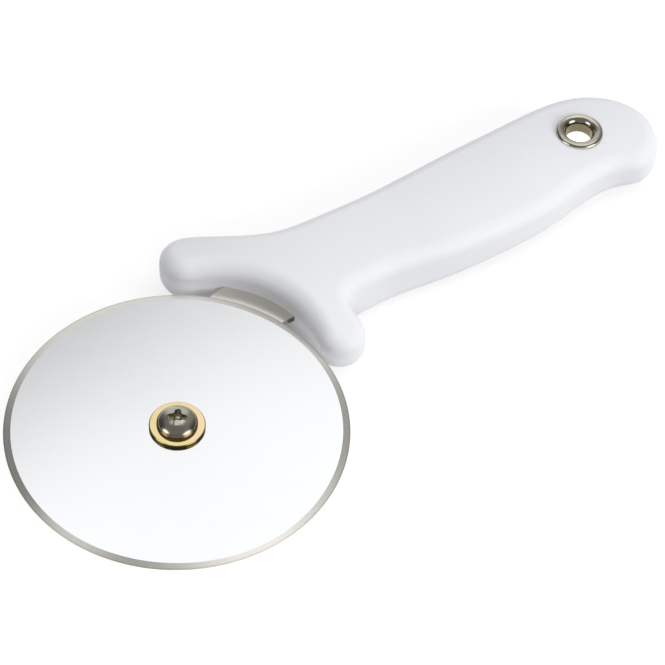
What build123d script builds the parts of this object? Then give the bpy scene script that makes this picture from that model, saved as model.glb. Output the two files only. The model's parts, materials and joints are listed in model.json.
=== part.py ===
from build123d import *
from math import atan, degrees, radians, tan
import os

# Pizza cutter wheel: a free-running disc blade on a flat steel bracket, moulded into an offset plastic handle.
# All lengths are in millimetres. The cutter lies flat: the blade turns about Z and the grip runs along +X.
# Plan places are measured from the pivot, and heights from the bracket's middle plane. At the end every piece
# is moved so that the origin is the middle of the whole cutter's footprint, at its lowest height.

# Blade
blade_radius = 50.0
blade_thickness = 1.0
bevel_width = 2.1
edge_land = 0.12

# Pivot: a flanged bushing clamped by a pan head screw, with the blade free on its barrel
screw_radius = 3.0
screw_head_radius = 6.0
screw_head_height = 3.5
screw_head_rim = 0.5
screw_tail = 0.8
screw_end_chamfer = 0.5
recess_span = 6.2
recess_arm_width = 2.0
recess_core_radius = 1.8
recess_depth = 2.3
recess_point = 0.4
recess_taper = 9.0
recess_turn = 51.0
fastener_clearance = 0.03
running_clearance = 0.05
bushing_wall = 1.1
flange_radius = 8.2
flange_thickness = 1.1
flange_round = 0.35
spacer_radius = 8.0
spacer_thickness = 0.6
blade_play = 0.05
spring_washer_radius = 5.4
spring_washer_thickness = 1.6
spring_washer_gap = 1.2
nut_across_flats = 10.0
nut_height = 5.0
nut_chamfer = 0.6

# Bracket: a stamped blank, from a rounded end at the pivot to a tang inside the handle
bracket_thickness = 2.0
bracket_end_radius = 10.0
outer_elbow_back = 10.3
outer_elbow_round = 15.0
inner_elbow_back = 2.3
inner_elbow_round = 8.0
tang_width = 21.0
tang_offset = 1.5
tang_reach = 52.0
tang_end_round = 5.0
tang_hole_radius = 4.0
tang_hole_pitch = 30.0
tang_hole_from_end = 14.0

# Guard: a front arc that faces the blade, between a thumb tip and a finger tip
guard_clearance = 6.3
guard_arc_radius = 36.4
guard_angle = 34.6
guard_depth = 29.7
thumb_tip_radius = 8.7
thumb_tip_angle = 63.6
finger_tip_radius = 7.35
finger_tip_drop = 9.5
finger_side_lean = 6.0

# Grip: its middle line lies a little nearer the blade's axis than the guard's middle
guard_over_grip = 5.7
grip_length = 115.1
grip_half_width = 18.8
handle_half_thickness = 9.9
butt_half_thickness = 7.4
crown_radius = 100.0
handle_edge_round = 5.0

# Hanging hole, and the two-piece eyelet that lines it
hole_from_butt = 24.4
hole_offset = 1.2
eyelet_bore_radius = 4.15
eyelet_bore_length = 4.4
eyelet_flare_angle = 10.0
eyelet_wall = 0.5
eyelet_flange_radius = 7.5
eyelet_crest_radius = 6.4
eyelet_crest_height = 1.4
eyelet_lip_height = 0.35
eyelet_funnel_depth = 1.2
eyelet_seat_depth = 0.45
eyelet_washer_thickness = 0.7
eyelet_washer_radius = 8.6
eyelet_curl_radius = 7.3
eyelet_curl_height = 0.8
eyelet_fit = 0.03

overrun = 5.0

# The grip's outline, from the guard along the thumb side to the butt and back along the finger side.
# Each point is a share of the grip's length and a share of its half width.
neck_share = (0.000, 0.915)
thumb_side_shares = [
    (0.158, 0.885),
    (0.310, 0.925),
    (0.470, 0.980),
    (0.623, 1.010),
    (0.771, 1.018),
    (0.870, 0.900),
    (0.951, 0.550),
]
butt_share = (1.000, -0.150)
finger_side_shares = [
    (0.989, -0.480),
    (0.945, -0.850),
    (0.881, -0.970),
    (0.825, -0.850),
    (0.765, -0.800),
    (0.700, -0.835),
    (0.600, -0.935),
    (0.480, -0.980),
    (0.355, -0.955),
    (0.222, -0.875),
    (0.110, -0.765),
]
finger_neck_share = (0.040, -0.731)
# The guard's back on the thumb side, from its tip to the grip: shares of the way in X and of the drop in Y
guard_back_shares = [
    (0.176, 0.834),
    (0.279, 0.648),
    (0.477, 0.315),
    (0.687, 0.084),
    (0.841, 0.020),
]
thumb_tip_end_angle = 75.0
finger_cap_middle_angle = -80.0
even_speed = (1.0, 1.0)
edge_round_share = 0.85
notch_round_share = 0.6

# Heights in the stack at the pivot
bracket_top = bracket_thickness / 2
blade_bottom = bracket_top + spacer_thickness
blade_top = blade_bottom + blade_thickness
flange_bottom = blade_top + blade_play
flange_top = flange_bottom + flange_thickness
nut_top = -bracket_top - spring_washer_thickness
nut_bottom = nut_top - nut_height

# Radii in the stack at the pivot
clamp_bore_radius = screw_radius + fastener_clearance
barrel_radius = clamp_bore_radius + bushing_wall
blade_bore_radius = barrel_radius + running_clearance

# Plan places that follow the blade and the guard
pivot = Vector(0, 0)
guard_reach = blade_radius + guard_clearance
guard_middle = Vector(guard_reach, 0).rotate(Axis.Z, guard_angle)
guard_centre = Vector(guard_reach - guard_arc_radius, 0).rotate(Axis.Z, guard_angle)
grip_start_x = guard_middle.X + guard_depth
grip_middle = guard_middle.Y - guard_over_grip
butt_x = grip_start_x + grip_length
hole_x = butt_x - hole_from_butt
hole_y = grip_middle + hole_offset
taper = degrees(atan((handle_half_thickness - butt_half_thickness) / grip_length))


def polar(centre, radius, angle):
    """Point at an angle, in degrees, on a circle in plan."""
    return centre + Vector(radius, 0).rotate(Axis.Z, angle)


def ring(outer_radius, inner_radius, low, high):
    """Flat ring about the pivot's axis, between two heights."""
    disc = Circle(outer_radius) - Circle(inner_radius)
    return Pos(0, 0, low) * extrude(disc, amount=high - low)


def revolve_profile(edges):
    """Solid of revolution about Z from a closed profile drawn in the XZ plane."""
    return revolve(make_face(Wire(edges)), Axis.Z)


def make_blade():
    """Disc with a centre hole, ground to an edge from both faces."""
    edge_middle = (blade_bottom + blade_top) / 2
    bevel_start = blade_radius - bevel_width
    outline = Polyline(
        (blade_bore_radius, 0, blade_bottom),
        (bevel_start, 0, blade_bottom),
        (blade_radius, 0, edge_middle - edge_land / 2),
        (blade_radius, 0, edge_middle + edge_land / 2),
        (bevel_start, 0, blade_top),
        (blade_bore_radius, 0, blade_top),
        close=True,
    )
    return revolve_profile(outline.edges())


def make_bushing():
    """Flanged bushing: the barrel stands on the bracket and carries the blade, the flange keeps it on."""
    barrel = ring(barrel_radius, clamp_bore_radius, bracket_top, flange_bottom)
    flange = ring(flange_radius, clamp_bore_radius, flange_bottom, flange_top)
    rims = flange.edges().filter_by(GeomType.CIRCLE).sort_by(SortBy.RADIUS)[-2:]
    flange = fillet(rims, flange_round)
    return barrel + flange


def make_spacer():
    """Thin washer on the barrel that keeps the blade off the bracket."""
    return ring(spacer_radius, blade_bore_radius, bracket_top, blade_bottom)


def make_screw():
    """Pan head screw with a cross recess, from above the bushing to just past the nut."""
    rim_top = flange_top + screw_head_rim
    head_top = flange_top + screw_head_height
    tail = nut_bottom - screw_tail
    dome = EllipticalCenterArc((0, 0), screw_head_radius, head_top - rim_top, 0, arc_size=90)
    profile = [
        Line((0, 0, head_top), (0, 0, tail)),
        Line((0, 0, tail), (screw_radius - screw_end_chamfer, 0, tail)),
        Line((screw_radius - screw_end_chamfer, 0, tail), (screw_radius, 0, tail + screw_end_chamfer)),
        Line((screw_radius, 0, tail + screw_end_chamfer), (screw_radius, 0, flange_top)),
        Line((screw_radius, 0, flange_top), (screw_head_radius, 0, flange_top)),
        Line((screw_head_radius, 0, flange_top), (screw_head_radius, 0, rim_top)),
        Pos(0, 0, rim_top) * Rot(90, 0, 0) * dome,
    ]
    arm = SlotOverall(recess_span, recess_arm_width)
    cross = Rot(0, 0, recess_turn) * (arm + Rot(0, 0, 90) * arm)
    arms = extrude(cross, amount=-recess_depth, taper=recess_taper)
    core_depth = recess_depth + recess_point
    core = Pos(0, 0, -core_depth / 2) * Cone(recess_arm_width / 2, recess_core_radius, core_depth)
    return revolve_profile(profile) - Pos(0, 0, head_top) * (arms + core)


def make_spring_washer():
    """Split lock washer, drawn flat as it is under the tightened nut."""
    washer = ring(spring_washer_radius, clamp_bore_radius, nut_top, -bracket_top)
    slit = Box(spring_washer_radius + overrun, spring_washer_gap, spring_washer_thickness + overrun)
    slit_reach = (spring_washer_radius + overrun) / 2
    return washer - Pos(slit_reach, 0, (nut_top - bracket_top) / 2) * slit


def make_nut():
    """Hexagon nut with turned corners."""
    hexagon = RegularPolygon(nut_across_flats / 2, 6, major_radius=False)
    prism = extrude(hexagon, amount=nut_height)
    turned = extrude(Circle(hexagon.radius), amount=nut_height)
    turned = chamfer(turned.edges(), nut_chamfer)
    bore = extrude(Circle(clamp_bore_radius), amount=nut_height)
    return Pos(0, 0, nut_bottom) * (prism & turned - bore)


def bracket_outline():
    """The blank in plan: round at the pivot, turning at the guard into a tang along the grip."""
    tang_middle = grip_middle + tang_offset
    tang_high = tang_middle + tang_width / 2
    tang_low = tang_middle - tang_width / 2
    tang_end = grip_start_x + tang_reach
    outer_elbow = Vector(guard_middle.X - outer_elbow_back, tang_high)
    inner_elbow = Vector(guard_middle.X - inner_elbow_back, tang_low)
    end_circle = Circle(bracket_end_radius)
    arm = make_hull(end_circle.edges() + [Line(outer_elbow, inner_elbow)])
    corners = [outer_elbow, inner_elbow, Vector(tang_end, tang_low), Vector(tang_end, tang_high)]
    tang = make_face(Polyline(*corners, close=True))
    blank = arm + tang
    vertices = blank.vertices()
    end_corners = vertices.sort_by(Axis.X)[-2:]
    blank = fillet(end_corners, tang_end_round)
    for elbow, elbow_round in ((outer_elbow, outer_elbow_round), (inner_elbow, inner_elbow_round)):
        corner = blank.vertices().sort_by_distance(elbow)[0]
        blank = fillet(corner, elbow_round)
    holes = [Pos(pivot) * Circle(clamp_bore_radius)]
    for number in range(2):
        hole_place = tang_end - tang_hole_from_end - number * tang_hole_pitch
        holes.append(Pos(hole_place, tang_middle) * Circle(tang_hole_radius))
    return blank - holes


def make_bracket():
    """Flat steel bracket, centred on its middle plane."""
    return Pos(0, 0, -bracket_top) * extrude(bracket_outline(), amount=bracket_thickness)


def grip_point(share):
    """Plan point for a share of the grip's length and a share of its half width."""
    along, across = share
    return Vector(grip_start_x + along * grip_length, grip_middle + across * grip_half_width)


def handle_outline():
    """The handle in plan: the guard with its two tips, the swelling grip and the hooked butt."""
    neck = grip_point(neck_share)
    butt_end = grip_point(butt_share)
    finger_neck = grip_point(finger_neck_share)

    thumb_tip = polar(guard_centre, guard_arc_radius + thumb_tip_radius, thumb_tip_angle)
    finger_tip_y = finger_neck.Y - finger_tip_drop
    finger_reach = guard_arc_radius + finger_tip_radius
    finger_tip_x = guard_centre.X + (finger_reach**2 - (finger_tip_y - guard_centre.Y) ** 2) ** 0.5
    finger_tip = Vector(finger_tip_x, finger_tip_y)

    thumb_front = guard_centre + (thumb_tip - guard_centre).normalized() * guard_arc_radius
    finger_front = guard_centre + (finger_tip - guard_centre).normalized() * guard_arc_radius
    thumb_outer = polar(thumb_tip, thumb_tip_radius, 180)
    thumb_back = polar(thumb_tip, thumb_tip_radius, thumb_tip_end_angle)
    finger_side = polar(finger_tip, finger_tip_radius, finger_side_lean)
    finger_outer = polar(finger_tip, finger_tip_radius, finger_cap_middle_angle)

    way = neck.X - thumb_tip.X
    drop = thumb_tip.Y + thumb_tip_radius - neck.Y
    guard_back = [Vector(thumb_tip.X + a * way, neck.Y + b * drop) for a, b in guard_back_shares]
    thumb_points = [thumb_back] + guard_back + [neck] + [grip_point(s) for s in thumb_side_shares] + [butt_end]
    finger_points = [butt_end] + [grip_point(s) for s in finger_side_shares] + [finger_neck]
    back_way = Vector(1, 0).rotate(Axis.Z, thumb_tip_end_angle - 90)
    butt_way = Vector(0, -1)
    grip_way = Vector(-1, 0)

    lean_way = Vector(0, 1).rotate(Axis.Z, finger_side_lean)
    notch_rise = finger_neck.Y - finger_side.Y
    notch_corner = finger_side + lean_way * (notch_rise / lean_way.Y)
    notch_run = finger_neck.X - notch_corner.X
    notch_round = notch_round_share * min(notch_run, notch_rise)

    front = ThreePointArc(finger_front, guard_middle, thumb_front)
    thumb_cap = ThreePointArc(thumb_front, thumb_outer, thumb_back)
    thumb_side = Spline(thumb_points, tangents=[back_way, butt_way], tangent_scalars=even_speed)
    finger_line = Spline(finger_points, tangents=[butt_way, grip_way], tangent_scalars=even_speed)
    notch = FilletPolyline(finger_neck, notch_corner, finger_side, radius=notch_round)
    finger_cap = ThreePointArc(finger_side, finger_outer, finger_front)
    return make_face(Wire([front, thumb_cap, thumb_side, finger_line, *notch.edges(), finger_cap]))


def crowned_slab():
    """The space between the handle's crowned top and bottom, which close in towards the butt."""
    length = 4 * (guard_reach + guard_depth + grip_length)
    cylinder = Rot(0, 90, 0) * Cylinder(crown_radius, length)
    above = Pos(grip_start_x, grip_middle, handle_half_thickness) * Rot(0, taper, 0)
    below = Pos(grip_start_x, grip_middle, -handle_half_thickness) * Rot(0, -taper, 0)
    top = above * Pos(0, 0, -crown_radius) * cylinder
    bottom = below * Pos(0, 0, crown_radius) * cylinder
    return top & bottom


def handle_blank():
    """The moulding before its slot and hanging hole are taken out."""
    column_height = 4 * handle_half_thickness
    column = Pos(0, 0, -column_height / 2) * extrude(handle_outline(), amount=column_height)
    body = (column & crowned_slab()).solids()[0]
    faces = body.faces().sort_by(Axis.Z)
    thinnest = butt_half_thickness - grip_half_width**2 / (2 * crown_radius)
    edge_round = min(handle_edge_round, edge_round_share * thinnest)
    return body.fillet(edge_round, faces[0].edges() + faces[-1].edges())


def seat_height():
    """Height of the flat seat that the eyelet's flange rests on, above the bracket's middle plane."""
    drop = (hole_x - grip_start_x) * (handle_half_thickness - butt_half_thickness) / grip_length
    crown_drop = hole_offset**2 / (2 * crown_radius)
    return handle_half_thickness - drop - crown_drop - eyelet_seat_depth


def flare_start():
    """Height at which the eyelet's straight bore ends and its flared end begins."""
    return seat_height() - eyelet_funnel_depth - eyelet_bore_length


def bore_radius_at(height):
    """Inner radius of the eyelet in its flared end."""
    return eyelet_bore_radius + (flare_start() - height) * tan(radians(eyelet_flare_angle))


def eyelet_hole(clearance):
    """What the eyelet's barrel takes up between the two seats, with a clearance round its bore."""
    seat = seat_height()
    top_radius = eyelet_bore_radius + clearance
    low_radius = bore_radius_at(-seat) + clearance
    outline = Polyline(
        (0, 0, seat),
        (top_radius, 0, seat),
        (top_radius, 0, flare_start()),
        (low_radius, 0, -seat),
        (0, 0, -seat),
        close=True,
    )
    return revolve_profile(outline.edges())


def make_handle(bracket):
    """One moulding, closed round the tang, with a lined hanging hole."""
    seat = seat_height()
    hole = eyelet_hole(eyelet_wall + eyelet_fit)
    high_cut = Pos(0, 0, seat + overrun / 2) * Cylinder(eyelet_flange_radius + eyelet_fit, overrun)
    low_cut = Pos(0, 0, -seat - overrun / 2) * Cylinder(eyelet_washer_radius + eyelet_fit, overrun)
    return handle_blank() - bracket - Pos(hole_x, hole_y) * (hole + high_cut + low_cut)


def rolled_edge(inner_radius, crest_radius, outer_radius, start, crest, end, lean=0):
    """Two smooth quarter turns in section: up from a leaning bore to a crest, and down to the outer edge."""
    way = 1 if crest > start else -1
    rise = Spline(
        (inner_radius, 0, start),
        (crest_radius, 0, crest),
        tangents=[(tan(radians(lean)), 0, way), (1, 0, 0)],
    )
    fall = Spline(
        (crest_radius, 0, crest),
        (outer_radius, 0, end),
        tangents=[(1, 0, 0), (0, 0, -way)],
    )
    return [rise, fall]


def make_eyelet():
    """Eyelet: a domed flange on top, a barrel that flares downwards, and an end curled over the washer below."""
    seat = seat_height()
    bore_top = seat - eyelet_funnel_depth
    flare_end = -seat + eyelet_funnel_depth
    flare_radius = bore_radius_at(flare_end)
    lip = seat + eyelet_lip_height
    crest = seat + eyelet_crest_height
    curl_top = -seat - eyelet_washer_thickness
    curl_bottom = curl_top - eyelet_curl_height
    curl_crest = (flare_radius + eyelet_curl_radius) / 2
    barrel = eyelet_bore_radius + eyelet_wall
    barrel_end = bore_radius_at(curl_top) + eyelet_wall
    flange = rolled_edge(eyelet_bore_radius, eyelet_crest_radius, eyelet_flange_radius, bore_top, crest, lip)
    curl = rolled_edge(
        flare_radius, curl_crest, eyelet_curl_radius, flare_end, curl_bottom, curl_top, eyelet_flare_angle
    )
    joins = [
        Line((flare_radius, 0, flare_end), (eyelet_bore_radius, 0, flare_start())),
        Line((eyelet_bore_radius, 0, flare_start()), (eyelet_bore_radius, 0, bore_top)),
        Line((eyelet_flange_radius, 0, lip), (eyelet_flange_radius, 0, seat)),
        Line((eyelet_flange_radius, 0, seat), (barrel, 0, seat)),
        Line((barrel, 0, seat), (barrel, 0, flare_start())),
        Line((barrel, 0, flare_start()), (barrel_end, 0, curl_top)),
        Line((barrel_end, 0, curl_top), (eyelet_curl_radius, 0, curl_top)),
    ]
    return Pos(hole_x, hole_y) * revolve_profile(flange + curl + joins)


def make_eyelet_washer():
    """Ring under the handle that the eyelet's end is curled over."""
    seat = seat_height()
    washer_low = -seat - eyelet_washer_thickness
    inner_radius = bore_radius_at(washer_low) + eyelet_wall + eyelet_fit
    washer = ring(eyelet_washer_radius, inner_radius, washer_low, -seat)
    low_rim = washer.edges().filter_by(GeomType.CIRCLE).sort_by(SortBy.RADIUS)[-2:].sort_by(Axis.Z)[0]
    washer = fillet(low_rim, eyelet_washer_thickness / 2)
    return Pos(hole_x, hole_y) * washer


def make_pieces():
    """Every piece by name, in the pivot's frame."""
    bracket = make_bracket()
    return {
        "handle": make_handle(bracket),
        "bracket": bracket,
        "blade": make_blade(),
        "pivot_bushing": make_bushing(),
        "spacer_washer": make_spacer(),
        "pivot_screw": make_screw(),
        "spring_washer": make_spring_washer(),
        "pivot_nut": make_nut(),
        "eyelet": make_eyelet(),
        "eyelet_washer": make_eyelet_washer(),
    }


pieces = make_pieces()
whole = Compound(children=[Part(piece.wrapped) for piece in pieces.values()]).bounding_box()
to_origin = Pos(-whole.center().X, -whole.center().Y, -whole.min.Z)
os.makedirs("parts", exist_ok=True)
for name, piece in pieces.items():
    export_step(to_origin * piece, f"parts/{name}.step")
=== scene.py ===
"""Looks for the pizza cutter: materials, soft studio light, a pale floor and the photograph's camera."""

import json
import math

import bpy
from mathutils import Matrix, Vector


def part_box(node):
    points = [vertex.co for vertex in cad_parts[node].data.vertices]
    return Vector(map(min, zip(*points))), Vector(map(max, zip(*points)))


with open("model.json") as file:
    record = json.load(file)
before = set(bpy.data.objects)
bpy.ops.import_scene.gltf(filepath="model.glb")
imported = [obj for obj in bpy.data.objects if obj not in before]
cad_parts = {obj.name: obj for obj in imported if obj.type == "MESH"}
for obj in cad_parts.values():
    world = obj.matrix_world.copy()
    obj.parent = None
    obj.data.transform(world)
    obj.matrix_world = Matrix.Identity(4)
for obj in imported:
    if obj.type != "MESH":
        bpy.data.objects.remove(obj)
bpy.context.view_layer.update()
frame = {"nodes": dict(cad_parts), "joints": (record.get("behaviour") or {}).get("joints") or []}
nodes = frame["nodes"]
pivot = Vector(frame["joints"][0]["pos_m"])
MM = 0.001

# Blade: the ground bevel from the rim inwards, and the duller edge at the rim itself
BEVEL_WIDTH = 2.1 * MM
BEVEL_BLEND = 0.3 * MM
EDGE_REACH = 0.7 * MM
EDGE_BLEND = 0.4 * MM

# Spacing of the fine turned rings on the blade, the brass, the screw and the eyelet
BLADE_RINGS = 0.35 * MM
BRASS_RINGS = 0.22 * MM
STEEL_RINGS = 0.3 * MM
NICKEL_RINGS = 0.4 * MM

# Reach of the screw's recess from its axis: the painted shade and reflection on a turned piece's steep flank
# begins outside it
RECESS_REACH = 3.1 * MM
RECESS_BLEND = 0.2 * MM

# Painted shade in the eyelet's throat, from and to these heights above the eyelet's middle, and a painted
# white reflection below it
BORE_LOW = 3.7 * MM
BORE_HIGH = 7.4 * MM
BORE_BLEND = 0.3 * MM

# Range in which most of a noise texture's values lie
NOISE_LOW = 0.3
NOISE_HIGH = 0.7

# The photograph's camera: its place, the angles of its view in degrees, and its lens in millimetres
CAMERA_PLACE = Vector((-329.7, -420.5, 647.9)) * MM
AZIMUTH = 37.0
ELEVATION = 50.35
ROLL = 3.54
LENS = 150.27
SENSOR_WIDTH = 36.0

# The lamps: name, azimuth and elevation in degrees, width and height in metres, and power in watts
SOFTBOX_DISTANCE = 1.2
SOFTBOXES = [
    ("softbox_right", 150.0, 25.0, (0.6, 0.4), 5.5),
    ("softbox_front", -153.0, 31.0, (0.5, 0.4), 3.0),
]

# The floor: half its side in metres, its grey, and the glow that brings it to white for the camera
FLOOR_REACH = 6.0
FLOOR_GREY = 0.5
FLOOR_GLOW = 0.62

# The sky that lights what isn't metal: its level all round, and what it adds towards its middle
SKY_FLOOR = 0.16
SKY_LEVEL = 0.87
SKY_MIDDLE = (60.0, 65.0)

# The studio that the metal mirrors: azimuth, elevation, inner and outer angle and strength of each card
WALL_LEVEL = 0.2
CARDS = [
    (43.4, 63.3, 12.0, 17.0, 0.87),
    (-10.0, 67.0, 3.5, 8.0, 0.6),
    (70.0, 73.0, 4.0, 11.0, 0.3),
    (75.0, 45.0, 12.0, 34.0, 0.1),
    (21.5, 54.0, 2.0, 6.0, 0.13),
    (31.0, 22.0, 14.0, 32.0, 0.53),
    (-84.0, 25.0, 11.0, 20.0, 2.1),
    (161.0, 20.0, 14.0, 24.0, 2.2),
    (-45.0, 15.0, 15.0, 42.0, -0.13),
    (115.0, 15.0, 15.0, 42.0, -0.13),
]


def linear(red, green, blue):
    """Scene colour of an 8-bit display colour."""
    channels = []
    for value in (red, green, blue):
        share = value / 255
        channels.append(share / 12.92 if share <= 0.04045 else ((share + 0.055) / 1.055) ** 2.4)
    return (*channels, 1.0)


class NodeTree:
    """A node tree, with short calls to add and join nodes."""

    def __init__(self, tree):
        self.tree = tree

    def join(self, value, socket):
        """Link another node's output to a socket, or set the socket to a constant."""
        if isinstance(value, bpy.types.NodeSocket):
            self.tree.links.new(value, socket)
        else:
            socket.default_value = value

    def node(self, kind, inputs=None, **settings):
        made = self.tree.nodes.new(kind)
        for key, value in settings.items():
            setattr(made, key, value)
        for key, value in (inputs or {}).items():
            self.join(value, made.inputs[key])
        return made

    def math(self, operation, first, second):
        return self.node("ShaderNodeMath", {0: first, 1: second}, operation=operation).outputs[0]

    def vector_math(self, operation, first, second=(0, 0, 0)):
        made = self.node("ShaderNodeVectorMath", {0: first, 1: second}, operation=operation)
        return made.outputs["Value" if operation in ("LENGTH", "DOT_PRODUCT") else "Vector"]

    def remap(self, value, low, high, new_low=0.0, new_high=1.0, smooth=False):
        """The value's range from low to high, stretched over a new range and held at its ends."""
        ends = {"From Min": low, "From Max": high, "To Min": new_low, "To Max": new_high}
        curve = "SMOOTHSTEP" if smooth else "LINEAR"
        made = self.node("ShaderNodeMapRange", {"Value": value, **ends}, interpolation_type=curve)
        return made.outputs["Result"]


class Shader(NodeTree):
    """A material and its node tree."""

    def __init__(self, name):
        self.material = bpy.data.materials.new(name)
        self.material.use_nodes = True
        super().__init__(self.material.node_tree)
        self.body = self.tree.nodes["Principled BSDF"]

    def place(self, centre=(0, 0, 0)):
        """Place on the piece, in the object's own frame, from a centre."""
        coordinates = self.node("ShaderNodeTexCoord").outputs["Object"]
        return self.vector_math("SUBTRACT", coordinates, tuple(centre))

    def flat(self, where):
        """The same place without its height."""
        return self.vector_math("MULTIPLY", where, (1, 1, 0))

    def height(self, where):
        return self.node("ShaderNodeSeparateXYZ", {"Vector": where}).outputs["Z"]

    def upward(self):
        """How far the surface faces up: 1 on a level face, 0 on an upright one."""
        return self.height(self.node("ShaderNodeNewGeometry").outputs["Normal"])

    def noise(self, where, scale, detail=2.0, roughness=0.5):
        inputs = {"Vector": where, "Scale": scale, "Detail": detail, "Roughness": roughness}
        return self.node("ShaderNodeTexNoise", inputs).outputs["Fac"]

    def spread(self, noise, new_low=0.0, new_high=1.0):
        """A noise stretched over a new range."""
        return self.remap(noise, NOISE_LOW, NOISE_HIGH, new_low, new_high)

    def rings(self, where, spacing):
        """Distance from the upright axis, and fine turned rings at that spacing."""
        radius = self.vector_math("LENGTH", self.flat(where))
        turns = self.math("MULTIPLY", radius, 2 * math.pi / spacing)
        return radius, self.math("SINE", turns, 0.0)

    def mix(self, factor, first, second):
        made = self.node("ShaderNodeMix", {"Factor": factor}, data_type="RGBA")
        for name, value in (("A", first), ("B", second)):
            socket = next(s for s in made.inputs if s.name == name and s.type == "RGBA")
            self.join(value, socket)
        return next(s for s in made.outputs if s.type == "RGBA")

    def bump(self, height, distance, strength):
        inputs = {"Height": height, "Distance": distance, "Strength": strength}
        return self.node("ShaderNodeBump", inputs).outputs["Normal"]

    def set(self, **inputs):
        """Sockets of the main shader by name, with spaces written as underscores."""
        for name, value in inputs.items():
            self.join(value, self.body.inputs[name.replace("_", " ")])
        return self.material


def moulded_plastic():
    """White satin polypropylene: a fine moulded grain, with slow changes of tone and gloss."""
    shader = Shader("white_moulded_plastic")
    where = shader.place()
    slow = shader.noise(where, scale=22.0)
    patches = shader.noise(where, scale=60.0)
    grain = shader.noise(where, scale=1900.0, detail=3.0, roughness=0.6)
    return shader.set(
        Base_Color=shader.mix(shader.spread(slow), linear(235, 236, 240), linear(239, 240, 243)),
        Roughness=shader.spread(patches, 0.4, 0.46),
        Specular_IOR_Level=0.3,
        Normal=shader.bump(grain, 0.02 * MM, strength=0.5),
    )


def polished_blade(centre, radius):
    """Stainless disc: a bright face with faint turned marks, and a coarser ground bevel at its rim."""
    shader = Shader("polished_blade_steel")
    where = shader.place(centre)
    reach, rings = shader.rings(where, BLADE_RINGS)
    bevel_start = radius - BEVEL_WIDTH
    bevel = shader.remap(reach, bevel_start, bevel_start + BEVEL_BLEND, smooth=True)
    edge_start = radius - EDGE_REACH
    inside_edge = shader.remap(reach, edge_start, edge_start + EDGE_BLEND, 1.0, 0.0, smooth=True)
    mottle = shader.noise(where, scale=120.0, detail=4.0)
    flow = shader.noise(shader.flat(where), scale=900.0, detail=3.0)
    face = shader.mix(shader.spread(mottle), linear(243, 244, 246), linear(245, 246, 247))
    ground = shader.mix(flow, linear(240, 237, 229), linear(250, 248, 242))
    ground = shader.mix(inside_edge, linear(230, 226, 217), ground)
    bevel_roughness = shader.math("MULTIPLY", bevel, 0.08)
    bevel_marks = shader.math("MULTIPLY", flow, shader.math("ADD", bevel, 0.3))
    return shader.set(
        Base_Color=shader.mix(bevel, face, ground),
        Metallic=1.0,
        Roughness=shader.math("ADD", shader.spread(mottle, 0.12, 0.13), bevel_roughness),
        Normal=shader.bump(shader.math("ADD", rings, bevel_marks), 0.002 * MM, strength=0.3),
    )


def rolled_steel():
    """Plain stainless sheet with the fine lengthwise grain of rolling, and painted shade on its upright
    sheared edges.
    """
    shader = Shader("rolled_bracket_steel")
    stretched = shader.vector_math("MULTIPLY", shader.place(), (60, 1400, 400))
    grain = shader.noise(stretched, scale=1.0, detail=4.0)
    face = shader.mix(grain, linear(220, 216, 207), linear(230, 226, 218))
    # Painted shade: faces that turn upright, such as the sheared edges, take the dark colour below.
    level = shader.remap(shader.upward(), 0.2, 0.6)
    return shader.set(
        Base_Color=shader.mix(level, linear(110, 106, 96), face),
        Metallic=1.0,
        Roughness=shader.spread(grain, 0.14, 0.18),
        Normal=shader.bump(grain, 0.003 * MM, strength=0.3),
    )


def turned_metal(name, centre, dark, light, roughness, spacing, painted_side=None, painted_bore=None):
    """Turned and polished metal: fine rings, slight smears, a painted shade or reflection on its steep
    flanks, and a painted shade high in its hole with a painted white reflection lower down.
    """
    shader = Shader(name)
    where = shader.place(centre)
    reach, rings = shader.rings(where, spacing)
    smear = shader.noise(where, scale=200.0, detail=3.0)
    tone = shader.mix(shader.spread(smear), dark, light)
    if painted_side:
        # Painted shade and reflection on the steep flank outside the recess: dark olive on the brass, a
        # brownish brass reflection on the screw.
        steep = shader.remap(shader.upward(), 0.3, 0.9, 1.0, 0.0, smooth=True)
        outside = shader.remap(reach, RECESS_REACH, RECESS_REACH + RECESS_BLEND)
        tone = shader.mix(shader.math("MULTIPLY", steep, outside), tone, painted_side)
    if painted_bore:
        # Painted shade in the throat of the eyelet's hole, and a painted white reflection of the floor below
        # it.
        painted_throat_shade, painted_white_reflection = painted_bore
        height = shader.height(where)
        tone = shader.mix(shader.remap(height, BORE_HIGH, BORE_HIGH + BORE_BLEND), painted_throat_shade, tone)
        tone = shader.mix(shader.remap(height, BORE_LOW, BORE_LOW + BORE_BLEND), painted_white_reflection, tone)
    return shader.set(
        Base_Color=tone,
        Metallic=1.0,
        Roughness=shader.spread(smear, roughness * 0.85, roughness * 1.15),
        Normal=shader.bump(rings, 0.002 * MM, strength=0.15),
    )


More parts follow.
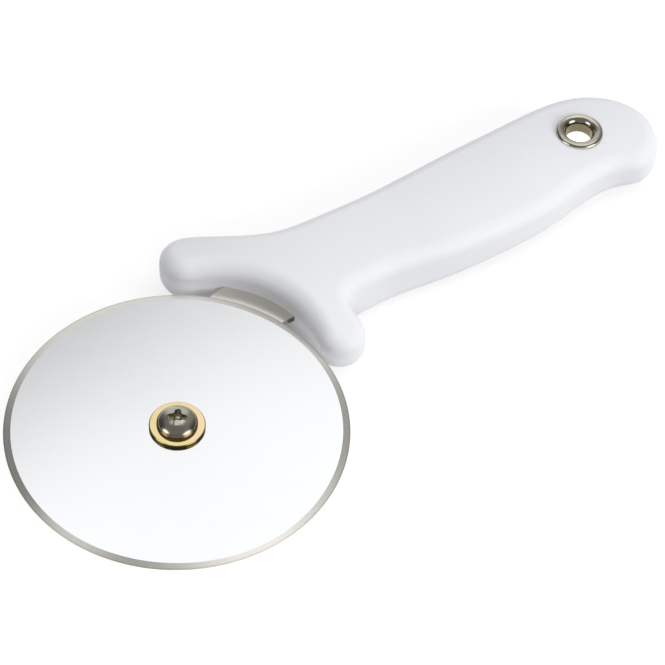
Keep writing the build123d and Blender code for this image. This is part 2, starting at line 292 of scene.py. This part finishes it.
def dress():
    """Give every CAD node its material."""
    blade_low, blade_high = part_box("blade")
    blade = polished_blade(pivot, (blade_high - blade_low).x / 2)
    brass_tones = linear(232, 218, 148), linear(252, 226, 182)
    # Painted shade for the brass flange's steep flank.
    brass_painted_side_shade = linear(112, 96, 52)
    brass = turned_metal("turned_brass", pivot, *brass_tones, 0.14, BRASS_RINGS, painted_side=brass_painted_side_shade)
    steel_tones = linear(196, 191, 174), linear(214, 209, 194)
    # Painted brass reflection and shade for the screw's steep rim.
    screw_painted_side_reflection = linear(150, 130, 102)
    steel = turned_metal("plain_nut_steel", pivot, *steel_tones, 0.2, STEEL_RINGS)
    screw = turned_metal("bright_screw_steel", pivot, *steel_tones, 0.2, STEEL_RINGS, painted_side=screw_painted_side_reflection)
    eyelet_low, eyelet_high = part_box("eyelet")
    middle = (eyelet_low + eyelet_high) / 2
    nickel_tones = linear(196, 190, 176), linear(214, 208, 194)
    # Painted shade for the eyelet's throat and a painted white reflection for the lower part of its hole.
    painted_bore_shade_and_reflection = linear(124, 116, 94), linear(253, 252, 248)
    nickel = turned_metal("nickel_plate", middle, *nickel_tones, 0.12, NICKEL_RINGS, painted_bore=painted_bore_shade_and_reflection)
    finishes = {
        "handle": moulded_plastic(),
        "blade": blade,
        "bracket": rolled_steel(),
        "pivot_bushing": brass,
        "spacer_washer": brass,
        "pivot_screw": screw,
        "spring_washer": steel,
        "pivot_nut": steel,
        "eyelet": nickel,
        "eyelet_washer": nickel,
    }
    for name, material in finishes.items():
        mesh = nodes[name].data
        mesh.materials.clear()
        mesh.materials.append(material)


def add_camera():
    data = bpy.data.cameras.new("camera")
    data.lens = LENS
    data.sensor_width = SENSOR_WIDTH
    camera = bpy.data.objects.new("camera", data)
    turn = Matrix.Rotation(math.radians(-AZIMUTH), 4, "Z")
    tilt = Matrix.Rotation(math.radians(90 - ELEVATION), 4, "X")
    roll = Matrix.Rotation(math.radians(ROLL), 4, "Z")
    camera.matrix_world = Matrix.Translation(CAMERA_PLACE) @ turn @ tilt @ roll
    bpy.context.scene.collection.objects.link(camera)
    bpy.context.scene.camera = camera


def direction(azimuth, elevation):
    """Unit vector seen from the cutter at an azimuth, from +Y towards +X, and an elevation, in degrees."""
    flat = math.cos(math.radians(elevation))
    return Vector((
        math.sin(math.radians(azimuth)) * flat,
        math.cos(math.radians(azimuth)) * flat,
        math.sin(math.radians(elevation)),
    ))


def add_softbox(name, azimuth, elevation, size, power):
    """Area lamp that faces the cutter; the metal sees the world's cards in its place."""
    data = bpy.data.lights.new(name, "AREA")
    data.shape = "RECTANGLE"
    data.size, data.size_y = size
    data.energy = power
    lamp = bpy.data.objects.new(name, data)
    lamp.visible_glossy = False
    lamp.location = direction(azimuth, elevation) * SOFTBOX_DISTANCE
    lamp.rotation_euler = (-lamp.location).to_track_quat("-Z", "Y").to_euler()
    bpy.context.scene.collection.objects.link(lamp)


def add_floor():
    """Pale floor: it keeps the cutter's shadow, and shows white to the camera and in the metal."""
    mesh = bpy.data.meshes.new("floor")
    corners = [(-1, -1), (1, -1), (1, 1), (-1, 1)]
    mesh.from_pydata([(x * FLOOR_REACH, y * FLOOR_REACH, 0) for x, y in corners], [], [(0, 1, 2, 3)])
    floor = bpy.data.objects.new("floor", mesh)
    bpy.context.scene.collection.objects.link(floor)
    shader = Shader("floor_white")
    path = shader.node("ShaderNodeLightPath").outputs
    seen = shader.math("MAXIMUM", path["Is Camera Ray"], path["Is Transmission Ray"])
    glow = shader.math("MAXIMUM", shader.math("MULTIPLY", seen, FLOOR_GLOW), path["Is Glossy Ray"])
    material = shader.set(
        Base_Color=(FLOOR_GREY, FLOOR_GREY, FLOOR_GREY, 1.0),
        Roughness=1.0,
        Specular_IOR_Level=0.0,
        Emission_Color=(1.0, 1.0, 1.0, 1.0),
        Emission_Strength=glow,
    )
    mesh.materials.append(material)


def add_world():
    """Even light all round, white to the camera, and a studio of white cards and dark walls in the metal."""
    world = bpy.data.worlds.new("studio")
    bpy.context.scene.world = world
    world.use_nodes = True
    world.node_tree.nodes.clear()
    studio = NodeTree(world.node_tree)
    ray = studio.node("ShaderNodeTexCoord").outputs["Generated"]
    path = studio.node("ShaderNodeLightPath").outputs

    def toward(azimuth, elevation):
        """Cosine of the angle between the ray and a direction."""
        return studio.vector_math("DOT_PRODUCT", ray, direction(azimuth, elevation))

    def card(azimuth, elevation, inner, outer, strength):
        """A round card: its strength within an inner angle, in degrees, falling to 0 at an outer angle."""
        rim = math.cos(math.radians(outer))
        full = math.cos(math.radians(inner))
        return studio.remap(toward(azimuth, elevation), rim, full, 0.0, strength, smooth=True)

    metal_view = WALL_LEVEL
    for settings in CARDS:
        metal_view = studio.math("ADD", card(*settings), metal_view)
    glossy = studio.math("MULTIPLY", path["Is Glossy Ray"], metal_view)
    from_above = studio.math("MAXIMUM", toward(*SKY_MIDDLE), 0.0)
    sky = studio.math("ADD", studio.math("MULTIPLY", from_above, SKY_LEVEL), SKY_FLOOR)
    diffuse = studio.math("MULTIPLY", path["Is Diffuse Ray"], sky)
    seen = studio.math("MAXIMUM", path["Is Camera Ray"], path["Is Transmission Ray"])
    strength = studio.math("ADD", studio.math("ADD", glossy, diffuse), seen)
    lit = {"Color": (1.0, 1.0, 1.0, 1.0), "Strength": strength}
    background = studio.node("ShaderNodeBackground", lit).outputs["Background"]
    studio.node("ShaderNodeOutputWorld", {"Surface": background})


dress()
add_camera()
add_floor()
add_world()
for settings in SOFTBOXES:
    add_softbox(*settings)
bpy.context.scene.view_settings.view_transform = "Standard"
